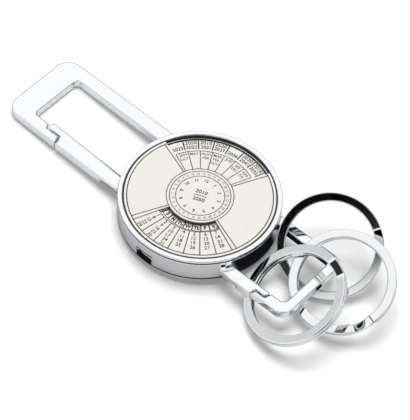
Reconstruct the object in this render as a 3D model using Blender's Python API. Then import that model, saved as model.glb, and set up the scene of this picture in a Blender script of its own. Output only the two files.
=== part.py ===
"""Perpetual calendar keyring: a round case with a turning calendar dial, a
spring-gated carabiner on one side and a spring-gated loop with three split
rings on the other.

The case is drawn about its own axis, with the back at zero and the face
towards +Z. The carabiner points to -X, the loop to +X, and both gates lie on
the -Y side. An empty then leans the whole thing the way it lies on a table,
with the loop end lifted by the split rings that pass under it.
"""
import math

import bmesh
import bpy
from mathutils import Matrix, Vector

# Attitude on the table, in degrees about the Y axis.
LEAN_ANGLE = 3.6

# Clearances shared by the pieces.
SEAT_GAP = 0.0003
RUN_GAP = 0.0003
PIN_GAP = 0.0002
SLIDE_GAP = 0.00015
CUT_OVERRUN = 0.0010

# Round case.
CASE_RADIUS = 0.0200
COVER_THICKNESS = 0.0006
COVER_EDGE = 0.0002
COVER_LIP_HEIGHT = 0.0004
COVER_LIP_WIDTH = 0.0007
CASE_WALL = 0.0011
WALL_HEIGHT = 0.0056
LEDGE_WIDTH = 0.0007
LEDGE_THICKNESS = 0.0006
WALL_EDGE = 0.00015
BEZEL_HEIGHT = 0.0007
BEZEL_WIDTH = 0.00127
BEZEL_EDGE = 0.00025
BEZEL_ROLL_RATIO = 0.3
PLATE_THICKNESS = 0.0005
SLOT_WIDTH = 0.0049
SLOT_HEIGHT = 0.0032

# Windows of the printed plate, as radii and as angles from +X in degrees.
TWELVE_ANGLE = 112.5
COLUMNS = 28
SECTOR_COLUMNS = 7
YEAR_WINDOW_INNER_RADIUS = 0.0143
DAY_WINDOW_INNER_RADIUS = 0.0085
DAY_WINDOW_OUTER_RADIUS = 0.0108
YEAR_WINDOW_MARGIN_ANGLE = 2.0

# Turning dial with its thumb rim.
DIAL_FACE_THICKNESS = 0.0008
DIAL_SHELL = 0.0010
DIAL_RIM_HEIGHT = 0.0027
DIAL_RIM_FLUTES = 48
DIAL_FLUTE_DEPTH = 0.00025
DIAL_HUB_RADIUS = 0.0035
POST_RADIUS = 0.0015
POST_GROUND_GAP = 0.0009
AXLE_HEAD_RADIUS = 0.0024
AXLE_HEAD_HEIGHT = 0.0006
AXLE_SHANK_RADIUS = 0.0007
AXLE_SHANK_LENGTH = 0.0026
WASHER_THICKNESS = 0.0003
WASHER_WIDTH = 0.0014
WASHER_WAVE = 0.00008
WASHER_WAVES = 3

# Flat bars of the carabiner and the loop.
BAR_BOTTOM = 0.0023
BAR_THICKNESS = 0.0024
BAR_EDGE = 0.00018

# Carabiner frame.
FRAME_LENGTH = 0.03518
FRAME_HALF_WIDTH = 0.01126
FRAME_END_WIDTH = 0.00688
FRAME_ARM_WIDTH = 0.00391
FRAME_OUTER_CORNER = 0.0040
FRAME_INNER_CORNER = 0.0012
HOOK_WIDTH = 0.0035
HOOK_REACH = 0.0049
HOOK_STEP = 0.0007
HOOK_NOSE_WIDTH = 0.00216
HOOK_NOSE_REACH = 0.0099
HOOK_NOSE_SLANT = 0.0005
HOOK_NOSE_FLAT = 0.0007
LATCH_GAP = 0.00035

# Carabiner gate and its hinge.
FRAME_GATE_TIP_WIDTH = 0.00454
FRAME_GATE_ROOT_WIDTH = 0.00406
FRAME_GATE_TIP_SLANT = 0.00045
FRAME_PIVOT_OUT = 0.00316
FRAME_PIVOT_INSET = 0.00216
FRAME_LUG_HALF_WIDTH = 0.0015
FRAME_BORE_OFFSET = 0.0007
FRAME_BORE_LENGTH_RATIO = 0.45

# Loop for the split rings.
LOOP_LENGTH = 0.01685
LOOP_BAR_WIDTH = 0.00245
LOOP_ARM_Y = 0.01073
LOOP_ARM_WIDTH = 0.00258
LOOP_NOSE_Y = 0.0114
LOOP_NOSE_WIDTH = 0.0030
LOOP_OUTER_CORNER = 0.0030
LOOP_INNER_CORNER = 0.0015
LOOP_RECESS_DEPTH = 0.0019
LOOP_NOSE_RATIO = 0.5757
LOOP_RECESS_RATIO = 0.4154
LOOP_RECESS_SLANT = 0.0006
LOOP_NOSE_SLANT = 0.0004
LOOP_LATCH_GAP = 0.0003

# Loop gate and its hinge.
LOOP_GATE_ROOT_Y = 0.01172
LOOP_GATE_TIP_Y = 0.01198
LOOP_GATE_INNER_ROOT_Y = 0.00866
LOOP_GATE_INNER_TIP_Y = 0.00841
LOOP_PIVOT_OUT = 0.0035
LOOP_PIVOT_Y = 0.01015
LOOP_LUG_HALF_WIDTH = 0.0012
LOOP_BORE_OFFSET = 0.00055
LOOP_BORE_END_WALL = 0.0004
LOOP_FACET_WIDTH = 0.0009
LOOP_FACET_DEPTH = 0.0004

# Hinge pins, springs and plungers, alike in both gates.
GATE_SWING_ANGLE = 25.0
LUG_HEIGHT = 0.0013
PIN_RADIUS = 0.00075
PIN_ROOF = 0.00025
BORE_RADIUS = 0.0006
BORE_HEIGHT = 0.0009
PLUNGER_LENGTH = 0.0013
SPRING_WIRE_RADIUS = 0.00011
SPRING_PITCH = 0.0009
SPRING_CURL_POINTS = 8

# Split rings.
RING_OUTER_RADIUS = 0.01299
RING_WIDTH = 0.00223
RING_THICKNESS = 0.00198
RING_TURN_GAP = 0.00012
RING_EDGE = 0.00022
RING_RAMP_ANGLE = 26.0
RING_END_ANGLE = 2.0
RING_STEPS = 44

# Places of the rings: how far the edge towards the case lies behind the loop's
# bar, how far the centre lies across from the loop's arm or nose, and how far
# up from the underside of the bars. The leans are slopes of the
# ring's axis along X and Y; the starts are where the wire begins, in degrees.
FRONT_RING_BEHIND = 0.01260
FRONT_RING_ACROSS = 0.00339
FRONT_RING_UP = 0.00264
FRONT_RING_LEAN_RATIOS = (-0.2830, -0.4363)
FRONT_RING_START_ANGLE = 20.0
MIDDLE_RING_BEHIND = 0.00714
MIDDLE_RING_ACROSS = 0.00213
MIDDLE_RING_UP = 0.00215
MIDDLE_RING_LEAN_RATIOS = (0.0597, -0.4191)
MIDDLE_RING_START_ANGLE = 250.0
BACK_RING_BEHIND = 0.01579
BACK_RING_ACROSS = 0.00353
BACK_RING_UP = 0.00267
BACK_RING_LEAN_RATIOS = (0.3787, -0.6238)
BACK_RING_START_ANGLE = 300.0

# Longest mitre of an inset outline: one over this share.
MITRE_LIMIT_RATIO = 0.3

# Roundness of the meshes.
CASE_STEPS = 96
HUB_STEPS = 40
SMALL_STEPS = 20
CORNER_STEPS = 8
SHARP_ANGLE = math.radians(32.0)

# Looks of the pieces: colour, metallic, roughness.
CHROME = ((0.80, 0.81, 0.83, 1.0), 1.0, 0.12)
PRINT = ((0.86, 0.84, 0.80, 1.0), 0.3, 0.38)
STEEL = ((0.55, 0.56, 0.58, 1.0), 1.0, 0.30)
BLACK = ((0.02, 0.02, 0.02, 1.0), 0.0, 0.45)

# Heights worked out from the stack of pieces.
wall_bottom = COVER_THICKNESS + SEAT_GAP
wall_top = wall_bottom + WALL_HEIGHT
bezel_bottom = wall_top + SEAT_GAP
bezel_top = bezel_bottom + BEZEL_HEIGHT
plate_bottom = wall_top + SEAT_GAP
plate_top = plate_bottom + PLATE_THICKNESS
slot_top = wall_bottom + SLOT_HEIGHT
bar_top = BAR_BOTTOM + BAR_THICKNESS
lug_top = BAR_BOTTOM + LUG_HEIGHT
lap_bottom = lug_top + SEAT_GAP

# Radii worked out from the wall.
wall_inner = CASE_RADIUS - CASE_WALL
wall_middle = CASE_RADIUS - CASE_WALL / 2
ledge_inner = wall_inner - LEDGE_WIDTH
bezel_inner = CASE_RADIUS - BEZEL_WIDTH
frame_reach = CASE_RADIUS + FRAME_LENGTH
loop_reach = CASE_RADIUS + LOOP_LENGTH
loop_nose_reach = LOOP_LENGTH * LOOP_NOSE_RATIO
loop_recess_reach = LOOP_LENGTH * LOOP_RECESS_RATIO
plate_radius = bezel_inner - SEAT_GAP
dial_radius = ledge_inner - RUN_GAP
dial_rim_radius = wall_inner - RUN_GAP

# Heights of the dial and its axle.
dial_top = plate_bottom - RUN_GAP
rim_bottom = COVER_THICKNESS + COVER_LIP_HEIGHT + RUN_GAP
rim_top = rim_bottom + DIAL_RIM_HEIGHT
axle_top = dial_top
axle_head_bottom = axle_top - AXLE_HEAD_HEIGHT
post_top = axle_head_bottom - SEAT_GAP
counterbore_floor = axle_head_bottom - SEAT_GAP
hub_bottom = COVER_THICKNESS + POST_GROUND_GAP
hub_bore = POST_RADIUS + RUN_GAP
axle_bottom = axle_head_bottom - AXLE_SHANK_LENGTH

attitude = None


def clear_scene():
    for item in list(bpy.data.objects):
        bpy.data.objects.remove(item, do_unlink=True)


def material(name, look):
    colour, metallic, roughness = look
    made = bpy.data.materials.new(name)
    made.use_nodes = True
    made.diffuse_color = colour
    shader = made.node_tree.nodes["Principled BSDF"]
    shader.inputs["Base Color"].default_value = colour
    shader.inputs["Metallic"].default_value = metallic
    shader.inputs["Roughness"].default_value = roughness
    return made


def add_object(name, mesh):
    made = bpy.data.objects.new(name, mesh)
    bpy.context.scene.collection.objects.link(made)
    return made


def mesh_from_faces(name, points, faces):
    """A mesh of its points and faces, with every face turned outwards."""
    mesh = bpy.data.meshes.new(name)
    mesh.from_pydata([tuple(point) for point in points], [], faces)
    work = bmesh.new()
    work.from_mesh(mesh)
    bmesh.ops.recalc_face_normals(work, faces=work.faces)
    work.to_mesh(mesh)
    work.free()
    return mesh


def loft(name, rings):
    """Closed body through rings of equally many points, capped at both ends."""
    count = len(rings[0])
    points = [point for ring in rings for point in ring]
    faces = []
    for level in range(len(rings) - 1):
        low = level * count
        high = low + count
        for index in range(count):
            after = (index + 1) % count
            faces.append((low + index, low + after, high + after, high + index))
    faces.append(tuple(reversed(range(count))))
    last = (len(rings) - 1) * count
    faces.append(tuple(range(last, last + count)))
    return add_object(name, mesh_from_faces(name, points, faces))


def inset(outline, distance):
    """The outline moved inwards; its points run anticlockwise."""
    moved = []
    count = len(outline)
    for index in range(count):
        here = Vector(outline[index])
        back = (here - Vector(outline[index - 1])).normalized()
        ahead = (Vector(outline[(index + 1) % count]) - here).normalized()
        normal_back = Vector((-back.y, back.x))
        normal_ahead = Vector((-ahead.y, ahead.x))
        middle = (normal_back + normal_ahead).normalized()
        stretch = distance / max(middle.dot(normal_ahead), MITRE_LIMIT_RATIO)
        moved.append(tuple(here + middle * stretch))
    return moved


def bar(name, outline, bottom, top, edge):
    """Upright plate of an outline, with its top and bottom edges broken."""
    narrow = inset(outline, edge)
    levels = [(narrow, bottom), (outline, bottom + edge), (outline, top - edge), (narrow, top)]
    rings = [[(x, y, z) for x, y in shape] for shape, z in levels]
    return loft(name, rings)


def prism(name, outline, bottom, top):
    return loft(name, [[(x, y, z) for x, y in outline] for z in (bottom, top)])


def turned(name, profile, steps):
    """A closed profile of (radius, height) points turned round the Z axis."""
    count = len(profile)
    points = []
    for step in range(steps):
        angle = math.tau * step / steps
        for radius, height in profile:
            points.append((radius * math.cos(angle), radius * math.sin(angle), height))
    faces = []
    for step in range(steps):
        here = step * count
        there = ((step + 1) % steps) * count
        for index in range(count):
            after = (index + 1) % count
            faces.append((here + index, there + index, there + after, here + after))
    return add_object(name, mesh_from_faces(name, points, faces))


def rod(name, radius, bottom, top, steps):
    outline = [(radius * math.cos(math.tau * k / steps), radius * math.sin(math.tau * k / steps))
               for k in range(steps)]
    return prism(name, outline, bottom, top)


def combine(target, tool, operation):
    """Apply one boolean to the target and remove its tool."""
    step = target.modifiers.new("cut", "BOOLEAN")
    step.operation = operation
    step.solver = "EXACT"
    step.object = tool
    bpy.context.view_layer.update()
    graph = bpy.context.evaluated_depsgraph_get()
    result = bpy.data.meshes.new_from_object(target.evaluated_get(graph))
    target.modifiers.clear()
    target.data = result
    bpy.data.objects.remove(tool, do_unlink=True)
    return target


def cut(target, tool):
    tool.hide_render = True
    tool.display_type = "WIRE"
    return combine(target, tool, "DIFFERENCE")


def join(target, tool):
    return combine(target, tool, "UNION")


def shift(made, offset):
    made.data.transform(Matrix.Translation(Vector(offset)))
    return made


def finish(made, name, look, parent, origin=(0.0, 0.0, 0.0)):
    """Name and shade a piece, put its origin where it turns or seats."""
    made.name = name
    made.data.name = name
    shift(made, (-origin[0], -origin[1], -origin[2]))
    made.location = origin
    made.parent = parent
    made.data.materials.clear()
    made.data.materials.append(material(name, look))
    made.data.shade_smooth()
    made.data.set_sharp_from_angle(angle=SHARP_ANGLE)
    return made


def arc(centre, radius, start, end, steps):
    """Points along an arc, with its angles in degrees."""
    points = []
    for step in range(steps + 1):
        angle = math.radians(start + (end - start) * step / steps)
        points.append((centre[0] + radius * math.cos(angle), centre[1] + radius * math.sin(angle)))
    return points


def wall_arc(radius, from_y, to_y, side, steps):
    """Points on a circle about the case axis, between two distances across."""
    start = math.asin(from_y / radius)
    end = math.asin(to_y / radius)
    points = []
    for step in range(steps + 1):
        angle = start + (end - start) * step / steps
        points.append((side * radius * math.cos(angle), radius * math.sin(angle)))
    return points


def anticlockwise(outline):
    area = 0.0
    for index, (x, y) in enumerate(outline):
        before = outline[index - 1]
        area += before[0] * y - x * before[1]
    return outline if area > 0 else list(reversed(outline))


def mirrored(outline):
    return [(-x, y) for x, y in outline]


def frame_outline():
    """Carabiner arm, end bar and hook, as seen from above."""
    outer_y = FRAME_HALF_WIDTH
    end_x = -frame_reach
    inner_x = end_x + FRAME_END_WIDTH
    arm_y = outer_y - FRAME_ARM_WIDTH
    hook_y = HOOK_WIDTH - outer_y
    nose_y = HOOK_NOSE_WIDTH - outer_y
    corner = FRAME_OUTER_CORNER
    fillet = FRAME_INNER_CORNER
    points = wall_arc(wall_middle, arm_y, outer_y, -1, CORNER_STEPS)
    points += arc((end_x + corner, outer_y - corner), corner, 90, 180, CORNER_STEPS)
    points += arc((end_x + corner, corner - outer_y), corner, 180, 270, CORNER_STEPS)
    nose_x = inner_x + HOOK_NOSE_REACH
    points.append((nose_x, -outer_y))
    points.append((nose_x, HOOK_NOSE_FLAT - outer_y))
    points.append((nose_x - HOOK_NOSE_SLANT, nose_y))
    points.append((inner_x + HOOK_REACH + HOOK_STEP, nose_y))
    points.append((inner_x + HOOK_REACH, hook_y))
    points += arc((inner_x + fillet, hook_y + fillet), fillet, 270, 180, CORNER_STEPS)
    points += arc((inner_x + fillet, arm_y - fillet), fillet, 180, 90, CORNER_STEPS)
    return anticlockwise(points)


def gate_root(pivot, outer_y, inner_y, side):
    """Hinge end of a gate: it follows the wall, then the circle of its swing."""
    clear = CASE_RADIUS + SEAT_GAP
    reach = math.hypot(pivot[0], pivot[1])
    swing = reach - clear
    near = (pivot[0] * clear / reach, pivot[1] * clear / reach)
    points = wall_arc(clear, outer_y, near[1], side, CORNER_STEPS)
    if inner_y > near[1]:
        start = math.degrees(math.atan2(near[1] - pivot[1], near[0] - pivot[0]))
        end = math.degrees(math.asin((inner_y - pivot[1]) / swing))
        if side > 0:
            end = 180 - end
            start = start % 360
        points += arc(pivot, swing, start, end, CORNER_STEPS)[1:]
    else:
        points[-1] = (side * math.sqrt(clear ** 2 - inner_y ** 2), inner_y)
    return points


def pivot_place(out, y, side):
    """Place of a hinge whose axis stands out from the case wall by a length."""
    return (side * math.sqrt((CASE_RADIUS + out) ** 2 - y ** 2), y)


def frame_pivot():
    return pivot_place(FRAME_PIVOT_OUT, FRAME_PIVOT_INSET - FRAME_HALF_WIDTH, -1)


def loop_pivot():
    return pivot_place(LOOP_PIVOT_OUT, -LOOP_PIVOT_Y, 1)


def lug_corner(half):
    """Reach of a square lug's corner from its pivot, with room to swing."""
    return math.hypot(half, half) + SEAT_GAP


def frame_bore_length():
    tip_x = FRAME_END_WIDTH - frame_reach + HOOK_NOSE_REACH + LATCH_GAP
    room = frame_pivot()[0] - lug_corner(FRAME_LUG_HALF_WIDTH) - tip_x
    return room * FRAME_BORE_LENGTH_RATIO


def loop_bore_length():
    tip_x = loop_reach - loop_nose_reach - LOOP_LATCH_GAP
    return tip_x - LOOP_BORE_END_WALL - loop_pivot()[0] - lug_corner(LOOP_LUG_HALF_WIDTH)


def frame_gate_outline():
    outer_y = -FRAME_HALF_WIDTH
    inner_x = FRAME_END_WIDTH - frame_reach
    nose_x = inner_x + HOOK_NOSE_REACH + LATCH_GAP
    tongue_y = outer_y + HOOK_NOSE_WIDTH + LATCH_GAP
    tip_x = inner_x + HOOK_REACH + LATCH_GAP
    root = gate_root(frame_pivot(), outer_y, outer_y + FRAME_GATE_ROOT_WIDTH, -1)
    points = root
    points.append((tip_x + FRAME_GATE_TIP_SLANT, outer_y + FRAME_GATE_TIP_WIDTH))
    points.append((tip_x, outer_y + HOOK_WIDTH + LATCH_GAP / 2))
    points.append((tip_x + HOOK_STEP, tongue_y))
    points.append((nose_x - HOOK_NOSE_SLANT, tongue_y))
    points.append((nose_x, outer_y + HOOK_NOSE_FLAT))
    points.append((nose_x, outer_y))
    return anticlockwise(points)


def loop_outline():
    """Loop arm, cross bar and nose, as seen from above."""
    end_x = loop_reach
    inner_x = end_x - LOOP_BAR_WIDTH
    arm_y = LOOP_ARM_Y - LOOP_ARM_WIDTH
    nose_y = -LOOP_NOSE_Y
    nose_inner = nose_y + LOOP_NOSE_WIDTH
    corner = LOOP_OUTER_CORNER
    fillet = LOOP_INNER_CORNER
    recess_y = nose_inner - LOOP_RECESS_DEPTH
    points = wall_arc(wall_middle, arm_y, LOOP_ARM_Y, 1, CORNER_STEPS)
    points += arc((end_x - corner, LOOP_ARM_Y - corner), corner, 90, 0, CORNER_STEPS)
    points += arc((end_x - corner, nose_y + corner), corner, 0, -90, CORNER_STEPS)
    nose_x = end_x - loop_nose_reach
    points.append((nose_x - LOOP_NOSE_SLANT, nose_y))
    points.append((nose_x, recess_y))
    points.append((end_x - loop_recess_reach, recess_y))
    points.append((end_x - loop_recess_reach + LOOP_RECESS_SLANT, nose_inner))
    points += arc((inner_x - fillet, nose_inner + fillet), fillet, -90, 0, CORNER_STEPS)
    points += arc((inner_x - fillet, arm_y - fillet), fillet, 0, 90, CORNER_STEPS)
    return anticlockwise(points)


def loop_gate_outline():
    nose_x = loop_reach - loop_nose_reach - LOOP_LATCH_GAP
    nose_inner = LOOP_NOSE_WIDTH - LOOP_NOSE_Y
    tongue_y = nose_inner - LOOP_RECESS_DEPTH + LOOP_LATCH_GAP
    tip_x = loop_reach - loop_recess_reach - LOOP_LATCH_GAP
    points = gate_root(loop_pivot(), -LOOP_GATE_ROOT_Y, -LOOP_GATE_INNER_ROOT_Y, 1)
    points.append((tip_x + LOOP_RECESS_SLANT / 2, -LOOP_GATE_INNER_TIP_Y))
    points.append((tip_x + LOOP_RECESS_SLANT, nose_inner - LOOP_LATCH_GAP))
    points.append((tip_x, tongue_y))
    points.append((nose_x, tongue_y))
    points.append((nose_x - LOOP_NOSE_SLANT, -LOOP_GATE_TIP_Y))
    return anticlockwise(points)


def lug_outline(pivot, half, side):
    """Square-ended lug under a gate's hinge end, rooted in the case wall."""
    low = pivot[1] - half
    high = pivot[1] + half
    end_x = pivot[0] + side * half
    points = wall_arc(wall_middle, low, high, side, CORNER_STEPS)
    points += [(end_x, high), (end_x, low)]
    return anticlockwise(points)


def make_casting():
    edge = WALL_EDGE
    wall = [
        (wall_inner, wall_bottom),
        (CASE_RADIUS - edge, wall_bottom),
        (CASE_RADIUS, wall_bottom + edge),
        (CASE_RADIUS, wall_top - edge),
        (CASE_RADIUS - edge, wall_top),
        (ledge_inner, wall_top),
        (ledge_inner, wall_top - LEDGE_THICKNESS),
        (wall_inner, wall_top - LEDGE_THICKNESS - LEDGE_WIDTH),
    ]
    body = turned("body_casting", wall, CASE_STEPS)
    join(body, bar("frame", frame_outline(), BAR_BOTTOM, bar_top, BAR_EDGE))
    join(body, bar("loop", loop_outline(), BAR_BOTTOM, bar_top, BAR_EDGE))
    hinges = ((frame_pivot(), FRAME_LUG_HALF_WIDTH, -1), (loop_pivot(), LOOP_LUG_HALF_WIDTH, 1))
    for pivot, half, side in hinges:
        join(body, prism("lug", lug_outline(pivot, half, side), BAR_BOTTOM, lug_top))
        hole = rod("hole", PIN_RADIUS + PIN_GAP, BAR_BOTTOM - CUT_OVERRUN, lug_top + CUT_OVERRUN, SMALL_STEPS)
        shift(hole, (pivot[0], pivot[1], 0.0))
        cut(body, hole)
    half = SLOT_WIDTH / 2
    for side in (-1, 1):
        near = side * (ledge_inner - CUT_OVERRUN)
        far = side * (CASE_RADIUS + CUT_OVERRUN)
        outline = anticlockwise([(-half, near), (half, near), (half, far), (-half, far)])
        cut(body, prism("slot", outline, wall_bottom - CUT_OVERRUN, slot_top))
    return finish(body, "body_casting", CHROME, attitude)


def make_cover():
    edge = COVER_EDGE
    lip_outer = wall_inner - SEAT_GAP
    lip_inner = lip_outer - COVER_LIP_WIDTH
    lip_top = COVER_THICKNESS + COVER_LIP_HEIGHT
    plate = [
        (0.0, 0.0),
        (CASE_RADIUS - edge, 0.0),
        (CASE_RADIUS, edge),
        (CASE_RADIUS, COVER_THICKNESS - edge),
        (CASE_RADIUS - edge, COVER_THICKNESS),
        (lip_outer, COVER_THICKNESS),
        (lip_outer, lip_top),
        (lip_inner, lip_top),
        (lip_inner, COVER_THICKNESS),
        (POST_RADIUS, COVER_THICKNESS),
        (POST_RADIUS, post_top),
        (AXLE_SHANK_RADIUS + PIN_GAP, post_top),
        (AXLE_SHANK_RADIUS + PIN_GAP, axle_bottom - SEAT_GAP),
        (0.0, axle_bottom - SEAT_GAP),
    ]
    return finish(spun_solid("back_cover", plate, CASE_STEPS), "back_cover", CHROME, attitude)


def spun_solid(name, profile, steps):
    """A profile that starts and ends on the axis, turned into a closed body."""
    inner = profile[1:-1]
    count = len(inner)
    points = [(0.0, 0.0, profile[0][1]), (0.0, 0.0, profile[-1][1])]
    for step in range(steps):
        angle = math.tau * step / steps
        for radius, height in inner:
            points.append((radius * math.cos(angle), radius * math.sin(angle), height))
    faces = []
    for step in range(steps):
        here = 2 + step * count
        there = 2 + ((step + 1) % steps) * count
        faces.append((0, there, here))
        faces.append((1, here + count - 1, there + count - 1))
        for index in range(count - 1):
            faces.append((here + index, there + index, there + index + 1, here + index + 1))
    return add_object(name, mesh_from_faces(name, points, faces))


def make_bezel():
    edge = BEZEL_EDGE
    ring = [
        (bezel_inner, bezel_bottom),
        (CASE_RADIUS - WALL_EDGE, bezel_bottom),
        (CASE_RADIUS, bezel_bottom + WALL_EDGE),
        (CASE_RADIUS, bezel_top - edge),
        (CASE_RADIUS - edge * BEZEL_ROLL_RATIO, bezel_top - edge * BEZEL_ROLL_RATIO),
        (CASE_RADIUS - edge, bezel_top),
        (bezel_inner + edge, bezel_top),
        (bezel_inner, bezel_top - edge),
    ]
    return finish(turned("dial_bezel", ring, CASE_STEPS), "dial_bezel", CHROME, attitude)


def sector_outline(inner, outer, start, end):
    steps = CASE_STEPS // 4
    return arc((0.0, 0.0), outer, start, end, steps) + arc((0.0, 0.0), inner, end, start, steps)


def make_plate():
    plate = rod("window_plate", plate_radius, plate_bottom, plate_top, CASE_STEPS)
    half_sector = 360.0 * SECTOR_COLUMNS / COLUMNS / 2
    low = plate_bottom - CUT_OVERRUN
    high = plate_top + CUT_OVERRUN
    start = TWELVE_ANGLE - half_sector - YEAR_WINDOW_MARGIN_ANGLE
    end = TWELVE_ANGLE + half_sector + YEAR_WINDOW_MARGIN_ANGLE
    years = sector_outline(YEAR_WINDOW_INNER_RADIUS, plate_radius + CUT_OVERRUN, start, end)
    cut(plate, prism("years", anticlockwise(years), low, high))
    start = TWELVE_ANGLE + 180.0 - half_sector
    end = TWELVE_ANGLE + 180.0 + half_sector
    days = sector_outline(DAY_WINDOW_INNER_RADIUS, DAY_WINDOW_OUTER_RADIUS, start, end)
    cut(plate, prism("days", anticlockwise(days), low, high))
    return finish(plate, "window_plate", PRINT, attitude)


def make_dial():
    """Cup-shaped calendar wheel: printed face, shell, fluted rim and hub."""
    face_bottom = dial_top - DIAL_FACE_THICKNESS
    shell_inner = dial_radius - DIAL_SHELL
    bore_top = AXLE_HEAD_RADIUS + RUN_GAP
    section = [
        (hub_bore, hub_bottom),
        (DIAL_HUB_RADIUS, hub_bottom),
        (DIAL_HUB_RADIUS, face_bottom),
        (shell_inner, face_bottom),
        (shell_inner, rim_bottom),
        (dial_rim_radius, rim_bottom),
        (dial_rim_radius, rim_top),
        (dial_radius, rim_top),
        (dial_radius, dial_top),
        (bore_top, dial_top),
        (bore_top, counterbore_floor),
        (hub_bore, counterbore_floor),
    ]
    steps = DIAL_RIM_FLUTES * 2
    wheel = turned("year_dial", section, steps)
    count = len(section)
    for step in range(1, steps, 2):
        for index in (5, 6):
            vertex = wheel.data.vertices[step * count + index]
            shrink = (dial_rim_radius - DIAL_FLUTE_DEPTH) / dial_rim_radius
            vertex.co.x *= shrink
            vertex.co.y *= shrink
    return finish(wheel, "year_dial", BLACK, attitude)


def make_axle():
    profile = [
        (0.0, axle_bottom),
        (AXLE_SHANK_RADIUS, axle_bottom),
        (AXLE_SHANK_RADIUS, axle_head_bottom),
        (AXLE_HEAD_RADIUS, axle_head_bottom),
        (AXLE_HEAD_RADIUS, axle_top),
        (0.0, axle_top),
    ]
    return finish(spun_solid("dial_axle_pin", profile, HUB_STEPS), "dial_axle_pin", STEEL, attitude)


def make_washer():
    inner = hub_bore
    outer = inner + WASHER_WIDTH
    low = (COVER_THICKNESS + hub_bottom - WASHER_THICKNESS) / 2
    section = [(inner, low), (outer, low), (outer, low + WASHER_THICKNESS), (inner, low + WASHER_THICKNESS)]
    washer = turned("dial_spring_washer", section, HUB_STEPS)
    for vertex in washer.data.vertices:
        angle = math.atan2(vertex.co.y, vertex.co.x)
        vertex.co.z += WASHER_WAVE * math.sin(WASHER_WAVES * angle)
    return finish(washer, "dial_spring_washer", STEEL, attitude)


def lying_rod(name, radius, start_x, end_x, place_y, place_z):
    """Round rod along X."""
    rings = []
    for x in (start_x, end_x):
        ring = []
        for k in range(SMALL_STEPS):
            angle = math.tau * k / SMALL_STEPS
            ring.append((x, place_y + radius * math.cos(angle), place_z + radius * math.sin(angle)))
        rings.append(ring)
    return loft(name, rings)


def cut_hinge(gate, pivot, half, side, bore_offset, bore_length):
    """Open a gate's lower half for the lug, and bore it for pin and spring."""
    corner = lug_corner(half)
    low = BAR_BOTTOM - CUT_OVERRUN
    hollow = rod("hollow", corner, low, lap_bottom, HUB_STEPS)
    shift(hollow, (pivot[0], pivot[1], 0.0))
    cut(gate, hollow)
    wide = FRAME_HALF_WIDTH
    inward_x = pivot[0] - side * wide
    outline = [
        (pivot[0], pivot[1] - wide),
        (pivot[0], pivot[1] + wide),
        (inward_x, pivot[1] + wide),
        (inward_x, pivot[1] - wide),
    ]
    cut(gate, prism("root", anticlockwise(outline), low, lap_bottom))
    hole = rod("hole", PIN_RADIUS + PIN_GAP, low, bar_top - PIN_ROOF, SMALL_STEPS)
    shift(hole, (pivot[0], pivot[1], 0.0))
    cut(gate, hole)
    far = pivot[0] + side * (corner + bore_length)
    centre_y = pivot[1] + bore_offset
    centre_z = BAR_BOTTOM + BORE_HEIGHT
    cut(gate, lying_rod("bore", BORE_RADIUS, pivot[0], far, centre_y, centre_z))
    return gate


def make_pin(name, pivot):
    pin = rod(name, PIN_RADIUS, BAR_BOTTOM, bar_top - PIN_ROOF - SEAT_GAP, SMALL_STEPS)
    shift(pin, (pivot[0], pivot[1], 0.0))
    return finish(pin, name, STEEL, attitude, (pivot[0], pivot[1], BAR_BOTTOM))


def make_plunger(name, pivot, half, side, bore_offset, gate):
    """Plunger in the gate's bore, clear of the lug's corner as the gate swings."""
    swing = math.radians(GATE_SWING_ANGLE)
    nose = pivot[0] + side * (half * (math.cos(swing) + math.sin(swing)) + SLIDE_GAP)
    tail = nose + side * PLUNGER_LENGTH
    y = pivot[1] + bore_offset
    z = BAR_BOTTOM + BORE_HEIGHT
    made = lying_rod(name, BORE_RADIUS - SLIDE_GAP, nose, tail, y, z)
    finish(made, name, STEEL, attitude, (nose, y, z))
    made.parent = gate
    made.location = Vector(made.location) - Vector(gate.location)
    return tail


def make_spring(name, pivot, half, side, bore_offset, bore_length, tail, gate):
    """Coil spring between the plunger and the blind end of the bore."""
    coil = BORE_RADIUS - SLIDE_GAP - SPRING_WIRE_RADIUS
    corner = lug_corner(half)
    start = tail + side * (SLIDE_GAP + SPRING_WIRE_RADIUS)
    end = pivot[0] + side * (corner + bore_length - SLIDE_GAP - SPRING_WIRE_RADIUS)
    turns = abs(end - start) / SPRING_PITCH
    steps = int(turns * SPRING_CURL_POINTS)
    curve = bpy.data.curves.new(name, "CURVE")
    curve.dimensions = "3D"
    curve.bevel_depth = SPRING_WIRE_RADIUS
    curve.bevel_resolution = 1
    curve.use_fill_caps = True
    line = curve.splines.new("POLY")
    line.points.add(steps)
    y = pivot[1] + bore_offset
    z = BAR_BOTTOM + BORE_HEIGHT
    for step in range(steps + 1):
        angle = math.tau * step / SPRING_CURL_POINTS
        x = (end - start) * step / steps
        line.points[step].co = (x, coil * math.cos(angle), coil * math.sin(angle), 1.0)
    curve.materials.append(material(name, STEEL))
    made = bpy.data.objects.new(name, curve)
    bpy.context.scene.collection.objects.link(made)
    made.parent = gate
    made.location = Vector((start, y, z)) - Vector(gate.location)
    return made


def make_frame_gate():
    pivot = frame_pivot()
    gate = bar("carabiner_gate", frame_gate_outline(), BAR_BOTTOM, bar_top, BAR_EDGE)
    cut_hinge(gate, pivot, FRAME_LUG_HALF_WIDTH, -1, FRAME_BORE_OFFSET, frame_bore_length())
    finish(gate, "carabiner_gate", CHROME, attitude, (pivot[0], pivot[1], BAR_BOTTOM))
    make_pin("carabiner_gate_pin", pivot)
    tail = make_plunger("carabiner_gate_plunger", pivot, FRAME_LUG_HALF_WIDTH, -1, FRAME_BORE_OFFSET, gate)
    make_spring("carabiner_gate_spring", pivot, FRAME_LUG_HALF_WIDTH, -1,
                FRAME_BORE_OFFSET, frame_bore_length(), tail, gate)


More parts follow.
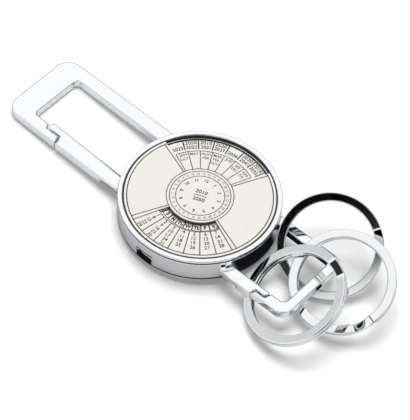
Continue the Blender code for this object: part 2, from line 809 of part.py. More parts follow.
def make_loop_gate():
    pivot = loop_pivot()
    gate = bar("loop_gate", loop_gate_outline(), BAR_BOTTOM, bar_top, BAR_EDGE)
    cut_hinge(gate, pivot, LOOP_LUG_HALF_WIDTH, 1, LOOP_BORE_OFFSET, loop_bore_length())
    inner = CASE_RADIUS
    outer = inner + SEAT_GAP + LOOP_FACET_WIDTH
    over = bar_top + CUT_OVERRUN
    slope = CUT_OVERRUN * LOOP_FACET_WIDTH / LOOP_FACET_DEPTH
    facet = [(inner, bar_top - LOOP_FACET_DEPTH), (outer, bar_top), (outer + slope, over), (inner, over)]
    cut(gate, turned("facet", facet, CASE_STEPS))
    finish(gate, "loop_gate", CHROME, attitude, (pivot[0], pivot[1], BAR_BOTTOM))
    make_pin("loop_gate_pin", pivot)
    tail = make_plunger("loop_gate_plunger", pivot, LOOP_LUG_HALF_WIDTH, 1, LOOP_BORE_OFFSET, gate)
    make_spring("loop_gate_spring", pivot, LOOP_LUG_HALF_WIDTH, 1,
                LOOP_BORE_OFFSET, loop_bore_length(), tail, gate)


def split_ring_mesh(name):
    """Two flat turns of one strip, with the step between them near the ends."""
    turn = (RING_THICKNESS - RING_TURN_GAP) / 2
    layer = (turn + RING_TURN_GAP) / 2
    half_width = RING_WIDTH / 2
    middle = RING_OUTER_RADIUS - half_width
    edge = RING_EDGE
    half_turn = turn / 2
    section = [
        (-half_width, edge - half_turn), (edge - half_width, -half_turn),
        (half_width - edge, -half_turn), (half_width, edge - half_turn),
        (half_width, half_turn - edge), (half_width - edge, half_turn),
        (edge - half_width, half_turn), (-half_width, half_turn - edge),
    ]
    end = 720.0 - RING_RAMP_ANGLE - RING_END_ANGLE
    low_end = 360.0 - RING_RAMP_ANGLE
    angles = [low_end * k / RING_STEPS for k in range(RING_STEPS)]
    ramp_steps = CORNER_STEPS
    angles += [low_end + RING_RAMP_ANGLE * k / ramp_steps for k in range(ramp_steps)]
    angles += [360.0 + (end - 360.0) * k / RING_STEPS for k in range(RING_STEPS + 1)]
    rings = []
    for degrees in angles:
        share = min(max((degrees - low_end) / RING_RAMP_ANGLE, 0.0), 1.0)
        smooth = share * share * (3.0 - 2.0 * share)
        height = layer * (2.0 * smooth - 1.0)
        angle = math.radians(degrees)
        ring = []
        for across, up in section:
            radius = middle + across
            ring.append((radius * math.cos(angle), radius * math.sin(angle), height + up))
        rings.append(ring)
    return loft(name, rings)


def make_ring(name, centre, lean, start):
    made = split_ring_mesh(name)
    made.data.transform(Matrix.Rotation(math.radians(start), 4, "Z"))
    finish(made, name, CHROME, attitude)
    made.location = centre
    made.rotation_mode = "QUATERNION"
    made.rotation_quaternion = Vector((lean[0], lean[1], 1.0)).to_track_quat("Z", "X")
    return made


def make_rings():
    middle_x = loop_reach - LOOP_BAR_WIDTH + RING_OUTER_RADIUS
    nose_y = LOOP_NOSE_WIDTH - LOOP_NOSE_Y
    arm_y = LOOP_ARM_Y - LOOP_ARM_WIDTH
    make_ring("split_ring_front",
              (middle_x - FRONT_RING_BEHIND, nose_y + FRONT_RING_ACROSS, BAR_BOTTOM + FRONT_RING_UP),
              FRONT_RING_LEAN_RATIOS, FRONT_RING_START_ANGLE)
    make_ring("split_ring_middle",
              (middle_x - MIDDLE_RING_BEHIND, arm_y - MIDDLE_RING_ACROSS, BAR_BOTTOM + MIDDLE_RING_UP),
              MIDDLE_RING_LEAN_RATIOS, MIDDLE_RING_START_ANGLE)
    make_ring("split_ring_back",
              (middle_x - BACK_RING_BEHIND, arm_y + BACK_RING_ACROSS, BAR_BOTTOM + BACK_RING_UP),
              BACK_RING_LEAN_RATIOS, BACK_RING_START_ANGLE)


def main():
    global attitude
    clear_scene()
    attitude = bpy.data.objects.new("attitude", None)
    bpy.context.scene.collection.objects.link(attitude)
    attitude.rotation_euler = (0.0, -math.radians(LEAN_ANGLE), 0.0)
    make_casting()
    make_cover()
    make_bezel()
    make_plate()
    make_dial()
    make_axle()
    make_washer()
    make_frame_gate()
    make_loop_gate()
    make_rings()
    bpy.context.view_layer.update()


main()
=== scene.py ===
"""Looks of a perpetual calendar keyring: chromed case, carabiner and loop,
printed calendar dial and three split rings, on a pale studio floor."""
import math

import bmesh
import bpy
import numpy as np
from bpy.props import FloatProperty, FloatVectorProperty, IntProperty, PointerProperty
from mathutils import Matrix, Vector


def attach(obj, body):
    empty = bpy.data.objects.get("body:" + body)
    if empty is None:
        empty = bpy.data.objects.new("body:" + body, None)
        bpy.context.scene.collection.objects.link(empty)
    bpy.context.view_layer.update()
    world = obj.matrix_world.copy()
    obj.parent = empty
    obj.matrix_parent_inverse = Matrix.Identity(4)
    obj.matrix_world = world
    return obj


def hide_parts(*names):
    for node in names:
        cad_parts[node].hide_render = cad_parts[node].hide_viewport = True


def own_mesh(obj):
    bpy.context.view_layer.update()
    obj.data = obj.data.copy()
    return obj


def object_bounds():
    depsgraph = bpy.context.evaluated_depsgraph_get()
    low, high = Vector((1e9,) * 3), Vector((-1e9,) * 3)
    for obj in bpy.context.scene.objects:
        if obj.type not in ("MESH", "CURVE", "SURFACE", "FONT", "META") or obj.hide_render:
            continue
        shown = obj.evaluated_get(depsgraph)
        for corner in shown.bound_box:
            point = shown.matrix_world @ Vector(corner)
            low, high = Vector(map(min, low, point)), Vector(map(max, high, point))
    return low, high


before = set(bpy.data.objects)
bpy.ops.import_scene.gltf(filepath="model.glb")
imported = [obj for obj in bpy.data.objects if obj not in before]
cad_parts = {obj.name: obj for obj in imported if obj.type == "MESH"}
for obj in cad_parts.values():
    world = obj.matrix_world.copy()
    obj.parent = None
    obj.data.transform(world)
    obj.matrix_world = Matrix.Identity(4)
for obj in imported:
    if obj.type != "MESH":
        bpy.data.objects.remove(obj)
cad_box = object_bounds()

bl_info = {
    "name": "Calendar Keyring",
    "version": (1, 0, 0),
    "blender": (4, 5, 0),
    "location": "3D View > Sidebar > Keyring",
    "description": "Dresses a perpetual calendar keyring with chrome, print and split rings",
    "category": "Object",
}

MM = 0.001

# The calendar's columns. Angles are in degrees: one column, half of a sector
# of seven columns, the year window's margin past its sector, and how far the
# borders of the plain wings lie past theirs.
COLUMNS = 28
COLUMN = 360.0 / COLUMNS
HALF_SECTOR = 3.5 * COLUMN
WINDOW_MARGIN = 2.0
WING = 3.8

# How far the dial is turned at rest, in degrees.
DIAL_TURN = 1.5

# The case's own frame: how far it leans about Y on the table.
LEAN = math.radians(3.6)
CASE_TO_TABLE = np.array([
    [math.cos(LEAN), 0.0, -math.sin(LEAN)],
    [0.0, 1.0, 0.0],
    [math.sin(LEAN), 0.0, math.cos(LEAN)],
])


def to_table(points):
    """Case coordinates to the table's: the lean is one turn about Y."""
    return np.asarray(points, dtype=float) @ CASE_TO_TABLE.T


# Properties.

class CasePrint(bpy.types.PropertyGroup):
    """Sizes of the printed plate and the dial under it."""
    plate_top: FloatProperty(name="Plate top", description="Height of the printed plate over the back",
                             default=7.3 * MM, unit="LENGTH")
    dial_top: FloatProperty(name="Dial top", description="Height of the turning dial over the back",
                            default=6.5 * MM, unit="LENGTH")
    line: FloatProperty(name="Fine line", description="Width of the fine printed lines",
                        default=0.20 * MM, unit="LENGTH")
    bold: FloatProperty(name="Bold line", description="Width of the cell borders on the dial",
                        default=0.32 * MM, unit="LENGTH")
    ink_height: FloatProperty(name="Ink height", description="Thickness of the ink film",
                              default=0.012 * MM, unit="LENGTH")
    twelve: FloatProperty(name="Upright direction", description="Where the print's top points, from +X",
                          default=math.radians(112.5), subtype="ANGLE")
    outline_radius: FloatProperty(name="Outline radius", description="Radius of the printed border",
                                  default=17.75 * MM, unit="LENGTH")
    # The ink's colour also paints the shade in the seams, the thumb slots and on the day window's wall.
    ink: FloatVectorProperty(name="Ink", description="Colour of the ink", subtype="COLOR", size=3,
                             default=(0.012, 0.012, 0.013), min=0.0, max=1.0)
    ground: FloatVectorProperty(name="Ground", description="Colour of the printed plate", subtype="COLOR",
                                size=3, default=(0.86, 0.84, 0.80), min=0.0, max=1.0)


class RingSizes(bpy.types.PropertyGroup):
    """Sizes of the split rings."""
    outer: FloatProperty(name="Outer radius", description="Outer radius of a split ring",
                         default=12.95 * MM, unit="LENGTH")
    inner: FloatProperty(name="Inner radius", description="Inner radius of a split ring",
                         default=10.76 * MM, unit="LENGTH")
    thickness: FloatProperty(name="Thickness", description="Height of the two turns together",
                             default=1.95 * MM, unit="LENGTH")
    turn_gap: FloatProperty(name="Turn gap", description="Gap between the two turns",
                            default=0.12 * MM, unit="LENGTH")
    rounding: FloatProperty(name="Edge rounding", description="Radius of the strip's edges",
                            default=0.24 * MM, unit="LENGTH")
    steps: IntProperty(name="Steps", description="Sections in one turn", default=150, min=24)


class BezelSizes(bpy.types.PropertyGroup):
    """Sizes of the bezel round the dial."""
    outer: FloatProperty(name="Outer radius", description="Outer radius of the bezel",
                         default=20.0 * MM, unit="LENGTH")
    inner: FloatProperty(name="Inner radius", description="Inner radius of the bezel",
                         default=18.73 * MM, unit="LENGTH")
    bottom: FloatProperty(name="Bottom", description="Height of its underside",
                          default=6.8 * MM, unit="LENGTH")
    top: FloatProperty(name="Top", description="Height of its rim", default=7.5 * MM, unit="LENGTH")


class SeamSizes(bpy.types.PropertyGroup):
    """Where the seams and the thumb slots lie."""
    setback: FloatProperty(name="Setback", description="How far a seam lies behind the wall",
                           default=0.04 * MM, unit="LENGTH")
    cover_top: FloatProperty(name="Cover top", description="Top of the back cover",
                             default=0.6 * MM, unit="LENGTH")
    cover_edge: FloatProperty(name="Cover edge", description="Width of the back cover's bevelled edge",
                              default=0.2 * MM, unit="LENGTH")
    wall_bottom: FloatProperty(name="Wall bottom", description="Bottom of the case wall",
                               default=0.9 * MM, unit="LENGTH")
    wall_top: FloatProperty(name="Wall top", description="Top of the case wall",
                            default=6.5 * MM, unit="LENGTH")
    wall_inner: FloatProperty(name="Wall inside", description="Inner radius of the case wall",
                              default=18.9 * MM, unit="LENGTH")
    plate_rim: FloatProperty(name="Plate rim", description="Radius of the printed plate",
                             default=18.43 * MM, unit="LENGTH")
    # The groove's black ring paints the shade in the gap round the plate.
    groove_top: FloatProperty(name="Groove top", description="Height of the black groove round the plate",
                              default=7.28 * MM, unit="LENGTH")
    slot_width: FloatProperty(name="Slot width", description="Width of a thumb slot",
                              default=4.9 * MM, unit="LENGTH")


class Finish(bpy.types.PropertyGroup):
    """Colours and polish of the metals."""
    chrome: FloatVectorProperty(name="Chrome", description="Colour of the chrome plate", subtype="COLOR",
                                size=3, default=(0.905, 0.91, 0.91), min=0.0, max=1.0)
    steel: FloatVectorProperty(name="Steel", description="Colour of the pins and springs", subtype="COLOR",
                               size=3, default=(0.50, 0.51, 0.53), min=0.0, max=1.0)
    soft_edge: FloatProperty(name="Soft edge", description="Radius that polishing left on the edges",
                             default=0.48 * MM, unit="LENGTH")
    polish: FloatProperty(name="Polish", description="Roughness of the chrome plate", default=0.03,
                          min=0.0, max=1.0)


class StageSizes(bpy.types.PropertyGroup):
    """Floor of the studio."""
    floor_size: FloatProperty(name="Floor size", description="Width of the floor", default=1.6, unit="LENGTH")
    floor_drop: FloatProperty(name="Floor gap", description="Gap between the object and the floor",
                              default=0.02 * MM, unit="LENGTH")


# Helpers.

# Angles over which an edge is shaded sharp: on the solids' own surfaces, on
# turned and wound ones, and on the springs' wire.
CUT_EDGE = math.radians(28.0)
TURNED_EDGE = math.radians(40.0)
WIRE_EDGE = math.radians(60.0)

# A solid's own surface is cleaned first: points this near become one, and
# faces that meet at less than this angle are merged.
WELD = 1e-7
FLAT = math.radians(0.4)


def new_piece(name, points, faces, body, stands_for=(), smooth=None):
    """A mesh from arrays of points and faces, riding on a body."""
    mesh = bpy.data.meshes.new(name)
    mesh.from_pydata([tuple(p) for p in np.asarray(points)], [], [tuple(int(i) for i in f) for f in faces])
    mesh.validate()
    if smooth is not None:
        mesh.shade_smooth()
        mesh.set_sharp_from_angle(angle=smooth)
    piece = bpy.data.objects.new(name, mesh)
    bpy.context.scene.collection.objects.link(piece)
    if stands_for:
        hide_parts(*stands_for)
    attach(piece, body)
    return piece


def cad_copy(name, node, body):
    """The node's own surface, welded and shaded smooth between its edges."""
    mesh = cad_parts[node].data.copy()
    mesh.name = name
    work = bmesh.new()
    work.from_mesh(mesh)
    bmesh.ops.remove_doubles(work, verts=work.verts, dist=WELD)
    bmesh.ops.dissolve_limit(work, angle_limit=FLAT, verts=work.verts, edges=work.edges)
    work.to_mesh(mesh)
    work.free()
    mesh.shade_smooth()
    mesh.set_sharp_from_angle(angle=CUT_EDGE)
    piece = bpy.data.objects.new(name, mesh)
    bpy.context.scene.collection.objects.link(piece)
    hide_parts(node)
    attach(piece, body)
    return piece


def dress(piece, material):
    piece.data.materials.clear()
    piece.data.materials.append(material)


def grid_faces(rows, columns, close_rows, close_columns):
    """Quads between neighbours on a grid of points, wrapped where it closes."""
    r = np.arange(rows if close_rows else rows - 1)
    c = np.arange(columns if close_columns else columns - 1)
    r, c = np.meshgrid(r, c, indexing="ij")
    up = (r + 1) % rows
    on = (c + 1) % columns
    return np.stack([r * columns + c, r * columns + on, up * columns + on, up * columns + c], -1).reshape(-1, 4)


def tube_faces(rows, columns):
    """Quads along a row of closed sections, and a cap on either end."""
    faces = [tuple(f) for f in grid_faces(rows, columns, False, True)]
    faces.append(tuple(range(columns - 1, -1, -1)))
    faces.append(tuple(range((rows - 1) * columns, rows * columns)))
    return faces


def band(inner, outer, low, high):
    """A closed band between two rows of plan points: its section is the
    rectangle from the inner to the outer point and from low to high."""
    corners = ((inner, low), (outer, low), (outer, high), (inner, high))
    rows = [np.hstack([line, np.full((len(line), 1), height)]) for line, height in corners]
    return np.stack(rows, 1).reshape(-1, 3), tube_faces(len(inner), len(corners))


def rounded_box(half_width, half_height, radius, steps):
    """Anticlockwise outline of a rectangle with quarter-circle corners. Each
    flat has one more point near either end, so that it shades flat."""
    angle = np.linspace(0.0, math.pi / 2, steps + 1)
    near = 0.04 * MM
    parts = []
    for quarter, (sx, sy) in enumerate(((1, 1), (-1, 1), (-1, -1), (1, -1))):
        turn = angle + quarter * math.pi / 2
        x = sx * (half_width - radius) + radius * np.cos(turn)
        y = sy * (half_height - radius) + radius * np.sin(turn)
        corner = np.stack([x, y], -1)
        before = corner[0] - near * np.array([-math.sin(turn[0]), math.cos(turn[0])])
        after = corner[-1] + near * np.array([-math.sin(turn[-1]), math.cos(turn[-1])])
        parts.append(np.concatenate([before[None], corner, after[None]]))
    return np.concatenate(parts)


def turned_surface(profile, steps):
    """Revolve a closed profile: x = r cos t, y = r sin t, z = h."""
    t = np.linspace(0.0, math.tau, steps, endpoint=False)
    r, h = np.asarray(profile)[:, 0], np.asarray(profile)[:, 1]
    points = np.stack([np.outer(np.cos(t), r), np.outer(np.sin(t), r), np.tile(h, (steps, 1))], -1)
    faces = grid_faces(steps, len(r), True, True)
    return points.reshape(-1, 3), faces[:, ::-1]


# Shader nodes.

def feed(tree, target, source):
    """Link an input to a socket, or set it to a plain value."""
    if isinstance(source, bpy.types.NodeSocket):
        tree.links.new(source, target)
    else:
        target.default_value = source


def maths(tree, operation, first, second):
    """One number from two."""
    node = tree.nodes.new("ShaderNodeMath")
    node.operation = operation
    feed(tree, node.inputs[0], first)
    feed(tree, node.inputs[1], second)
    return node.outputs[0]


def measure(tree, operation, first, second=None):
    """One number from one vector or two: a length, a distance or a product."""
    node = tree.nodes.new("ShaderNodeVectorMath")
    node.operation = operation
    feed(tree, node.inputs[0], first)
    if second is not None:
        feed(tree, node.inputs[1], second)
    return node.outputs["Value"]


def ramp(tree, value, start, end, low=0.0, high=1.0, kind="SMOOTHSTEP"):
    """Goes from low to high while the value goes from start to end."""
    node = tree.nodes.new("ShaderNodeMapRange")
    node.interpolation_type = kind
    for label, source in (("Value", value), ("From Min", start), ("From Max", end),
                          ("To Min", low), ("To Max", high)):
        feed(tree, node.inputs[label], source)
    return node.outputs["Result"]


def blend(tree, factor, first, second, kind="RGBA"):
    """A mix of two colours, or of two numbers where the kind is FLOAT."""
    node = tree.nodes.new("ShaderNodeMix")
    node.data_type = kind
    for label, source in (("Factor", factor), ("A", first), ("B", second)):
        feed(tree, node.inputs[label], source)
    return node.outputs["Result"]


def place_on(tree, kind="Object"):
    """The place on the object, or the direction in the world (Generated)."""
    return tree.nodes.new("ShaderNodeTexCoord").outputs[kind]


def noise(tree, vector, scale, detail=2.0):
    """Cloudy noise from 0 to 1."""
    node = tree.nodes.new("ShaderNodeTexNoise")
    node.inputs["Scale"].default_value = scale
    node.inputs["Detail"].default_value = detail
    tree.links.new(vector, node.inputs["Vector"])
    return node.outputs["Fac"]


def relief(tree, shader, height, strength, normal=None):
    """Bump the shader's normal, over an edge's own normal where one is given."""
    node = tree.nodes.new("ShaderNodeBump")
    node.inputs["Strength"].default_value = strength
    node.inputs["Distance"].default_value = 0.00001
    tree.links.new(height, node.inputs["Height"])
    if normal is not None:
        tree.links.new(normal, node.inputs["Normal"])
    tree.links.new(node.outputs["Normal"], shader.inputs["Normal"])


def rgba(colour, tint=(1.0, 1.0, 1.0)):
    """A colour times a tint, with full alpha."""
    return tuple(c * t for c, t in zip(colour, tint)) + (1.0,)


def new_material(name):
    """A material, its tree and its shader."""
    made = bpy.data.materials.new(name)
    made.use_nodes = True
    return made, made.node_tree, made.node_tree.nodes["Principled BSDF"]


# Materials.

# Wear of a metal: how much film and hairlines add to its roughness, and the
# strength of the relief. Then the roughness of the pins.
CLEAN = (0.03, 0.015, 0.012)
WORN = (0.10, 0.08, 0.15)
PIN_ROUGHNESS = 0.26

# What a colour is multiplied by where the noise is high.
METAL_TINT = (0.96, 0.965, 0.98)
GROUND_TINT = (0.965, 0.96, 0.95)
INK_TINT = (2.2, 2.2, 2.2)

# The dial's black moulding, and how rough the print is, from and to.
MOULDING = (0.012, 0.012, 0.013, 1.0)
GROUND_ROUGHNESS = (0.36, 0.46)
INK_ROUGHNESS = (0.42, 0.6)


def handling_marks():
    """Fine hairlines and a cloudy film left by handling, as a roughness and
    a height over the surface. Built once."""
    if "Handling marks" in bpy.data.node_groups:
        return bpy.data.node_groups["Handling marks"]
    tree = bpy.data.node_groups.new("Handling marks", "ShaderNodeTree")
    for label, value in (("Base roughness", 0.1), ("Film", 0.05), ("Hairlines", 0.05)):
        socket = tree.interface.new_socket(name=label, in_out="INPUT", socket_type="NodeSocketFloat")
        socket.default_value = value
    for label in ("Roughness", "Height"):
        tree.interface.new_socket(name=label, in_out="OUTPUT", socket_type="NodeSocketFloat")
    come = tree.nodes.new("NodeGroupInput").outputs
    go = tree.nodes.new("NodeGroupOutput").inputs
    place = place_on(tree)
    cloud = noise(tree, place, 180.0, 4.0)
    stretch = tree.nodes.new("ShaderNodeMapping")
    stretch.inputs["Scale"].default_value = (300.0, 5200.0, 900.0)
    stretch.inputs["Rotation"].default_value = (0.3, 0.2, 0.5)
    tree.links.new(place, stretch.inputs["Vector"])
    hair = noise(tree, stretch.outputs["Vector"], 1.0)
    film = maths(tree, "MULTIPLY", cloud, come["Film"])
    thin = maths(tree, "MULTIPLY", hair, come["Hairlines"])
    filmed = maths(tree, "ADD", come["Base roughness"], film)
    tree.links.new(maths(tree, "ADD", filmed, thin), go["Roughness"])
    tree.links.new(hair, go["Height"])
    return tree


def metal(name, colour, roughness, wear, soft_edge=0.0):
    """Metal with handling marks and a faint cloudy tint, its edges shaded
    round where a radius is given."""
    made, tree, shader = new_material(name)
    shader.inputs["Metallic"].default_value = 1.0
    film, hairlines, bump = wear
    marks = tree.nodes.new("ShaderNodeGroup")
    marks.node_tree = handling_marks()
    marks.inputs["Base roughness"].default_value = roughness
    marks.inputs["Film"].default_value = film
    marks.inputs["Hairlines"].default_value = hairlines
    tree.links.new(marks.outputs["Roughness"], shader.inputs["Roughness"])
    normal = None
    if soft_edge:
        edge = tree.nodes.new("ShaderNodeBevel")
        edge.samples = 6
        edge.inputs["Radius"].default_value = soft_edge
        normal = edge.outputs["Normal"]
    relief(tree, shader, marks.outputs["Height"], bump, normal)
    tint = noise(tree, place_on(tree), 60.0)
    tree.links.new(blend(tree, tint, rgba(colour), rgba(colour, METAL_TINT)), shader.inputs["Base Color"])
    return made


def print_ground(name, colour, below=None):
    """Cream lacquer with a faint grain. Below the given height over the back
    the piece shows its black moulding instead."""
    made, tree, shader = new_material(name)
    shader.inputs["Specular IOR Level"].default_value = 0.35
    place = place_on(tree)
    grain = noise(tree, place, 900.0, 3.0)
    out = blend(tree, grain, rgba(colour), rgba(colour, GROUND_TINT))
    if below is not None:
        upright = tree.nodes.new("ShaderNodeMapping")
        upright.inputs["Rotation"].default_value = (0.0, LEAN, 0.0)
        tree.links.new(place, upright.inputs["Vector"])
        split = tree.nodes.new("ShaderNodeSeparateXYZ")
        tree.links.new(upright.outputs["Vector"], split.inputs["Vector"])
        out = blend(tree, maths(tree, "GREATER_THAN", split.outputs["Z"], below), MOULDING, out)
    tree.links.new(out, shader.inputs["Base Color"])
    tree.links.new(ramp(tree, grain, 0.0, 1.0, *GROUND_ROUGHNESS, "LINEAR"), shader.inputs["Roughness"])
    relief(tree, shader, grain, 0.05)
    return made


def ink_material(name, colour):
    """Printing ink, and the painted shade in the case's seams, thumb slots and day window wall: near black,
    slightly uneven in its gloss and density.
    """
    made, tree, shader = new_material(name)
    grain = noise(tree, place_on(tree), 1500.0)
    tree.links.new(blend(tree, grain, rgba(colour), rgba(colour, INK_TINT)), shader.inputs["Base Color"])
    tree.links.new(ramp(tree, grain, 0.0, 1.0, *INK_ROUGHNESS, "LINEAR"), shader.inputs["Roughness"])
    return made


def finishes():
    """The materials of the object, made on first use."""
    scene = bpy.context.scene
    metals, print_sizes = scene.keyring_finish, scene.keyring_print
    moulded = print_sizes.dial_top - 0.05 * MM
    table = (
        ("Chrome plate", lambda n: metal(n, metals.chrome, metals.polish, CLEAN, metals.soft_edge)),
        ("Rounded chrome", lambda n: metal(n, metals.chrome, metals.polish, CLEAN)),
        ("Pin steel", lambda n: metal(n, metals.steel, PIN_ROUGHNESS, WORN)),
        ("Cream print", lambda n: print_ground(n, print_sizes.ground)),
        ("Dial moulding", lambda n: print_ground(n, print_sizes.ground, moulded)),
        # The ink also paints the shade on the day window's wall; the gap shade paints the shade in the seams
        # and thumb slots.
        ("Black ink and window wall shade", lambda n: ink_material(n, print_sizes.ink)),
        ("Painted gap shade", lambda n: ink_material(n, print_sizes.ink)),
    )
    return {name: bpy.data.materials.get(name) or make(name) for name, make in table}


# Split rings.

# Ring, its centre in millimetres, how far its axis leans along X and Y, and
# where its strip starts, in degrees. All are in case coordinates.
RINGS = (
    ("split_ring_front", (34.79, -5.01, 4.94), (-0.2830, -0.4363), 20.0),
    ("split_ring_middle", (40.25, 6.02, 4.45), (0.0597, -0.4191), 250.0),
    ("split_ring_back", (31.60, 11.68, 4.97), (0.3787, -0.6238), 300.0),
)

# In degrees: how long the strip climbs to its upper turn, and the gap at its
# ends. Then the sections in the climb and in a rounded corner.
CLIMB = 26.0
END_GAP = 2.0
CLIMB_STEPS = 24
CORNER_STEPS = 6


def strip_ring(sizes):
    """Two flat turns of one strip about +Z: the section (across, up) rides at
    radius r and height h(t), where h climbs from the lower to the upper layer
    along an S-curve at the end of the first turn."""
    turn = (sizes.thickness - sizes.turn_gap) / 2
    layer = (turn + sizes.turn_gap) / 2
    middle = (sizes.outer + sizes.inner) / 2
    half = (sizes.outer - sizes.inner) / 2
    low_end = 360.0 - CLIMB
    last = 720.0 - CLIMB - END_GAP
    t = np.concatenate([
        np.linspace(0.0, low_end, sizes.steps, endpoint=False),
        np.linspace(low_end, 360.0, CLIMB_STEPS, endpoint=False),
        np.linspace(360.0, last, sizes.steps),
    ])
    share = np.clip((t - low_end) / CLIMB, 0.0, 1.0)
    height = layer * (2.0 * share * share * (3.0 - 2.0 * share) - 1.0)
    section = rounded_box(half, turn / 2, sizes.rounding, CORNER_STEPS)
    angle = np.radians(t)[:, None]
    r = middle + section[None, :, 0]
    points = np.stack([r * np.cos(angle), r * np.sin(angle), height[:, None] + section[None, :, 1]], -1)
    faces = [face[::-1] for face in tube_faces(*points.shape[:2])]
    return points.reshape(-1, 3), faces


class KEYRING_OT_split_rings(bpy.types.Operator):
    """Wind the three split rings."""
    bl_idname = "keyring.split_rings"
    bl_label = "Split rings"

    def execute(self, context):
        chrome = finishes()["Rounded chrome"]
        points, faces = strip_ring(context.scene.keyring_rings)
        for node, centre, lean, start in RINGS:
            turn = Vector((lean[0], lean[1], 1.0)).to_track_quat("Z", "X").to_matrix()
            turn = np.array(turn @ Matrix.Rotation(math.radians(start), 3, "Z"))
            placed = to_table(points @ turn.T + np.array(centre) * MM)
            piece = new_piece("wound_" + node, placed, faces, node, (node,), TURNED_EDGE)
            dress(piece, chrome)
        return {"FINISHED"}


# Case and bars.

SPRING_WIRE = 0.11 * MM
SPRING_PITCH = 0.9 * MM

# Sections of a spring's wire in one turn, and points round the wire.
SPRING_STEPS = 24
WIRE_SIDES = 10

# Springs: node, the gate they lie in, the plunger's joint, and which end of
# the spring along X the plunger presses.
SPRINGS = (
    ("carabiner_gate_spring", "carabiner_gate", "carabiner_plunger_slide", 1.0),
    ("loop_gate_spring", "loop_gate", "loop_plunger_slide", -1.0),
)

# Polished pieces: name, node and body. Then the small steel parts.
POLISHED = (
    ("polished_casting", "body_casting", "case"),
    ("polished_cover", "back_cover", "case"),
    ("polished_carabiner_gate", "carabiner_gate", "carabiner_gate"),
    ("polished_loop_gate", "loop_gate", "loop_gate"),
)
SMALL_PARTS = (
    "dial_axle_pin", "dial_spring_washer", "carabiner_gate_pin", "carabiner_gate_plunger",
    "loop_gate_pin", "loop_gate_plunger",
)

# The bezel's section: radii of its outer and inner upper edges and the points
# along each, the step under its outer edge, and the steps round the bezel.
BEZEL_ROLL = 0.18 * MM
BEZEL_LIP = 0.32 * MM
BEZEL_EDGE_POINTS = 9
BEZEL_UNDER = 0.12 * MM
BEZEL_STEPS = 360

# The seams, black rings that paint the shade in the case's gaps: room to their
# neighbours, how far the bezel's seam reaches into the wall and into the bezel,
# and the steps round them.
SLACK = 0.01 * MM
INTO_WALL = 0.10 * MM
INTO_BEZEL = 0.11 * MM
SEAM_STEPS = 192

# The black sheets that paint the shade inside the thumb slots: thickness, how
# far they reach in past the wall, and the points across them.
SLOT_SHADE_THICKNESS = 0.05 * MM
SLOT_SHADE_REACH = 0.25 * MM
SLOT_SHADE_POINTS = 9


def coil_spring(start, end, coil, wire, pitch):
    """A wire wound about X: the circle (x, r) = wire (sin b, cos b) rides on
    the helix y = coil cos a, z = coil sin a, which advances by the pitch in
    each turn."""
    turns = abs(end - start) / pitch
    a = np.linspace(0.0, turns * math.tau, int(turns * SPRING_STEPS))[:, None]
    b = np.linspace(0.0, math.tau, WIRE_SIDES, endpoint=False)[None, :]
    r = coil + wire * np.cos(b)
    x = start + (end - start) * a / a[-1] + wire * np.sin(b)
    points = np.stack([x, r * np.cos(a), r * np.sin(a)], -1)
    faces = tube_faces(*points.shape[:2])
    if end < start:
        faces = [face[::-1] for face in faces]
    return points.reshape(-1, 3), faces


class KEYRING_OT_springs(bpy.types.Operator):
    """Wind the gates' springs."""
    bl_idname = "keyring.springs"
    bl_label = "Springs"

    def execute(self, context):
        steel = finishes()["Pin steel"]
        for node, body, joint, pressed in SPRINGS:
            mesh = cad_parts[node].data
            flat = np.empty(len(mesh.vertices) * 3)
            mesh.vertices.foreach_get("co", flat)
            case = flat.reshape(-1, 3) @ CASE_TO_TABLE
            low, high = case.min(0), case.max(0)
            centre = (low + high) / 2
            coil = (high[2] - low[2]) / 2 - SPRING_WIRE
            ends = (high[0], low[0]) if pressed > 0 else (low[0], high[0])
            near, far = ends[0] - pressed * SPRING_WIRE, ends[1] + pressed * SPRING_WIRE
            points, faces = coil_spring(near, far, coil, SPRING_WIRE, SPRING_PITCH)
            placed = to_table(points + np.array([0.0, centre[1], centre[2]]))
            piece = new_piece("wound_" + node, placed, faces, body, (node,), WIRE_EDGE)
            dress(piece, steel)
            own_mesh(piece)
        return {"FINISHED"}


class KEYRING_OT_metalwork(bpy.types.Operator):
    """Polish the casting, the cover, the gates, the pins and the plungers."""
    bl_idname = "keyring.metalwork"
    bl_label = "Metalwork"

    def execute(self, context):
        made = finishes()
        for name, node, body in POLISHED:
            dress(cad_copy(name, node, body), made["Chrome plate"])
        for node in SMALL_PARTS:
            dress(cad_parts[node], made["Pin steel"])
        return {"FINISHED"}


class KEYRING_OT_bezel(bpy.types.Operator):
    """Turn the bezel."""
    bl_idname = "keyring.bezel"
    bl_label = "Bezel"

    def execute(self, context):
        sizes = context.scene.keyring_bezel
        low, high = sizes.bottom, sizes.top
        inner, outer = sizes.inner, sizes.outer
        roll, lip, under = BEZEL_ROLL, BEZEL_LIP, BEZEL_UNDER
        quarter = np.linspace(0.0, math.pi / 2, BEZEL_EDGE_POINTS)
        profile = [(inner, low), (outer - under, low), (outer - under, low + under), (outer, low + under)]
        profile += [(outer - roll + roll * math.cos(a), high - roll + roll * math.sin(a)) for a in quarter]
        profile += [(inner + lip - lip * math.sin(a), high - lip + lip * math.cos(a)) for a in quarter]
        points, faces = turned_surface(profile, BEZEL_STEPS)
        piece = new_piece("turned_bezel", to_table(points), faces, "case",
                          ("dial_bezel",), TURNED_EDGE)
        dress(piece, finishes()["Rounded chrome"])
        return {"FINISHED"}


